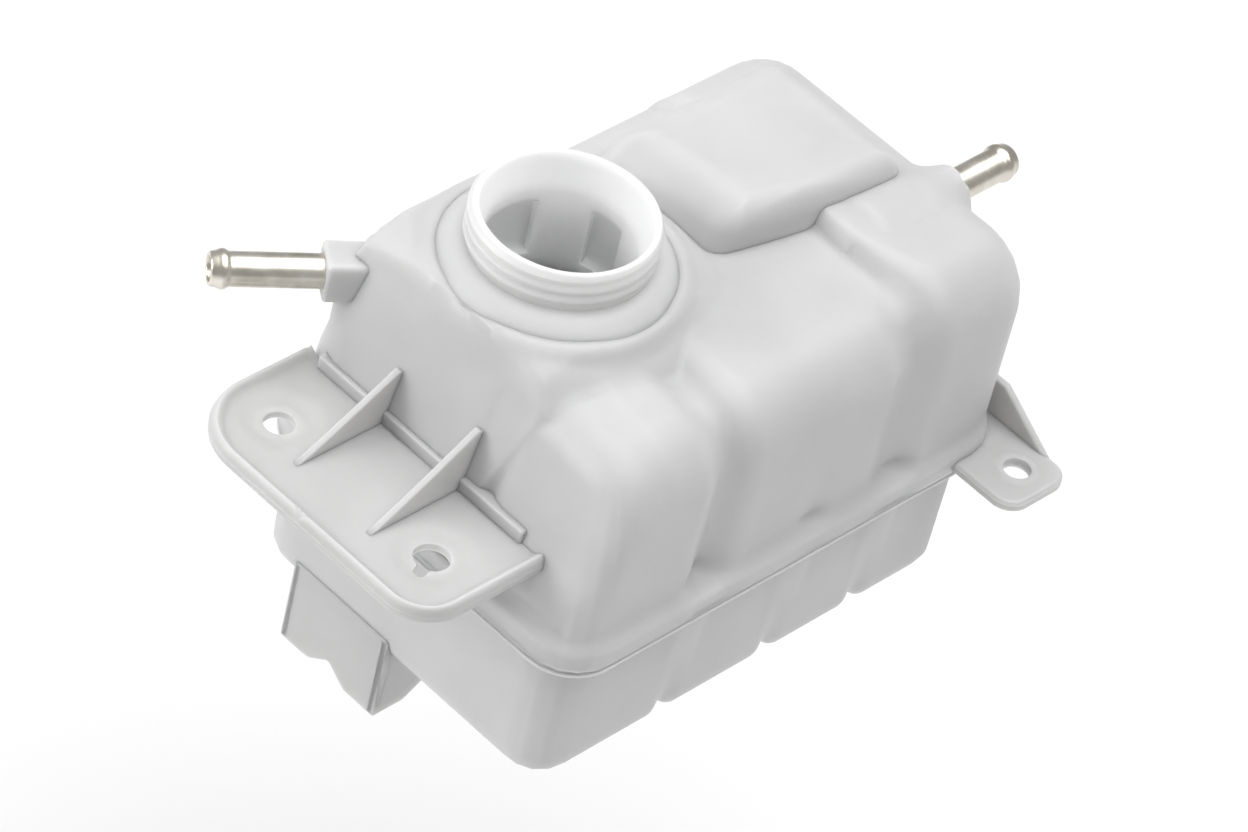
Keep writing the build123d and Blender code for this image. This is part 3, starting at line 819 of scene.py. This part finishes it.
tab_corners = [(tab_right, tab_inner), (tab_left, tab_inner), (tab_left, tab_front), (tab_right, tab_front)]
tab_grid = plate_half(lambda x, y: np.maximum(tab_edge(x, y), y - tab_inner), tab_upper, tab_lower, tab_hole,
                      tab_hole_r, key_angles(tab_corners, tab_hole, (40, 40, 40, 40)), 22)
make_piece("tab_plate", tab_grid, shaded_plate_plastic)
rib_thickness, rib_bottom, rib_top = 2.0, 0.4, 13.5
rib_outline = [(-70.5, rib_bottom), (-70.5, 2.2), (-53.5, rib_top), (-46.0, rib_top), (-46.0, rib_bottom)]
prism(rib_outline, (76.9, 0, 0), (0, 1, 0), (0, 0, 1), rib_thickness, "tab_rib", shaded_plate_plastic)
prism(rectangle((68.0, rib_bottom), (77.8, rib_top)), (0, -47.0, 0), (1, 0, 0), (0, 0, 1), rib_thickness,
      "tab_web", shaded_plate_plastic)

# Square boss that holds the left pipe
left_turn = np.radians(145.6)
left_heading = np.array((np.cos(left_turn), np.sin(left_turn), 0))
left_side = np.array((-np.sin(left_turn), np.cos(left_turn), 0))
boss_length = 18.0
boss_outline = soften(rectangle((-5.25, -5.75), (5.25, 5.75)), 1.6)
boss_middle = left_root - boss_length / 2 * left_heading
prism(boss_outline, boss_middle, left_side, (0, 0, 1), boss_length, "left_boss", plastic, bevel=0.8)

# Steel pipes: pipe_end gives distance from the end and radius, over the bead and into the bore
pipe_r, pipe_bore_r, pipe_depth = 4.25, 3.0, 9.0
pipe_end = ((5.0, pipe_r), (4.5, 4.35), (4.0, 4.7), (3.5, 4.88), (2.9, 4.88), (2.3, 4.7), (1.7, 4.4),
            (0.5, 4.2), (0.1, 3.95), (0.0, 3.6), (0.1, 3.2), (0.5, pipe_bore_r))
for name, root, heading, reach in (("left_hose_pipe", left_root, left_heading, 27.0),
                                   ("right_hose_pipe", right_root, (1, 0, 0), 20.0)):
    profile = [(-pipe_depth, pipe_bore_r), (-pipe_depth, pipe_r)]
    profile += [(reach - from_end, radius) for from_end, radius in pipe_end]
    pipe = make_piece(name, lathe(profile, root, heading, 72), steel, smooth_angle=60.0)
    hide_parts(name.replace("hose_", ""))

# Foot under the left end: a notched plate and two plates that run back from it
foot_thickness, foot_bevel, foot_corner, foot_x = 2.2, 0.7, 1.0, -72.4
foot_outline = [(-3.2, -34.0), (-3.6, -43.3), (-3.1, -59.4), (7.6, -59.4), (13.9, -54.8), (20.2, -59.2),
                (23.7, -59.45), (30.3, -59.4), (30.2, -34.0)]
return_outline = [(-73.5, -59.4), (-63.2, -59.4), (-55.2, -54.4), (-55.5, -38.0), (-73.5, -34.0)]
prism(soften(foot_outline, foot_corner), (foot_x, 0, 0), (0, 1, 0), (0, 0, 1), foot_thickness, "foot_plate",
      shaded_plate_plastic, bevel=foot_bevel)
for label, y in (("foot_return_front", -2.1), ("foot_return_back", 29.1)):
    prism(soften(return_outline, foot_corner), (0, y, 0), (1, 0, 0), (0, 0, 1), foot_thickness, label,
          shaded_plate_plastic, bevel=foot_bevel)

# Outlet: rows of place down the pipe and radius, from a flared root to a bead
outlet_root, outlet_bead_r = -39.4, 10.4
outlet_profile = [(0.0, outlet_bore_r), (0.0, outlet_r + 2.0), (2.5, outlet_r + 0.4), (5.0, outlet_r),
                  (17.0, outlet_r), (18.0, outlet_bead_r), (20.5, outlet_bead_r), (22.0, 9.2),
                  (22.0, outlet_bore_r)]
make_piece("bottom_outlet", lathe(outlet_profile, (outlet_x, outlet_y, outlet_root), (0, 0, -1)), plastic)

# Camera from the front left, turned about its own axis
camera_distance = 1.5663
azimuth, elevation, roll = np.radians(36.4), np.radians(42.0), np.radians(14.2)
to_camera = Vector((-np.cos(elevation) * np.cos(azimuth), -np.cos(elevation) * np.sin(azimuth),
                    np.sin(elevation)))
camera_data = bpy.data.cameras.new("camera")
camera_data.lens = 187.5
camera_data.sensor_width = 36.0
camera = bpy.data.objects.new("camera", camera_data)
bpy.context.collection.objects.link(camera)
right = (-to_camera).cross(Vector((0, 0, 1))).normalized()
up = right.cross(-to_camera)
picture_right = np.cos(roll) * right + np.sin(roll) * up
picture_up = np.cos(roll) * up - np.sin(roll) * right
turn = Matrix((picture_right, picture_up, to_camera)).transposed().to_4x4()
camera.matrix_world = Matrix.Translation(Vector(SEAM_MIDDLE) + camera_distance * to_camera) @ turn
bpy.context.scene.camera = camera

# Floor below the tank, seen as a white ground
floor_half, floor_gap = 4.0, 0.16
floor_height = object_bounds()[0][2] - floor_gap
floor_mesh = bpy.data.meshes.new("floor")
floor_mesh.from_pydata([(-floor_half, -floor_half, floor_height), (floor_half, -floor_half, floor_height),
                        (floor_half, floor_half, floor_height), (-floor_half, floor_half, floor_height)],
                       [], [(0, 1, 2, 3)])
floor = bpy.data.objects.new("floor", floor_mesh)
bpy.context.collection.objects.link(floor)
floor_material, floor_nodes, _ = node_material("studio_paper")
floor_shader = floor_nodes["Principled BSDF"]
floor_shader.inputs["Base Color"].default_value = (0.82, 0.82, 0.82, 1)
floor_shader.inputs["Roughness"].default_value = 0.9
floor.data.materials.append(floor_material)


# Light: two area lights that face about the middle of the tank, and an even white surround
light_target = Vector((0.09, 0.0, 0.0))


def soft_light(name, place, size, power):
    """Square area light at place that faces light_target."""
    light = bpy.data.lights.new(name, "AREA")
    light.size = size
    light.energy = power
    lamp = bpy.data.objects.new(name, light)
    bpy.context.collection.objects.link(lamp)
    lamp.location = place
    lamp.rotation_euler = (light_target - Vector(place)).to_track_quat("-Z", "Y").to_euler()


soft_light("overhead", (0.35, -0.2, 1.9), 2.4, 48.0)
soft_light("left", (-1.3, 1.1, 0.7), 1.2, 20.0)
world = bpy.data.worlds.new("studio")
world.use_nodes = True
background = world.node_tree.nodes["Background"]
background.inputs["Color"].default_value = (1, 1, 1, 1)
background.inputs["Strength"].default_value = 0.40
bpy.context.scene.world = world
bpy.context.scene.view_settings.view_transform = "Standard"
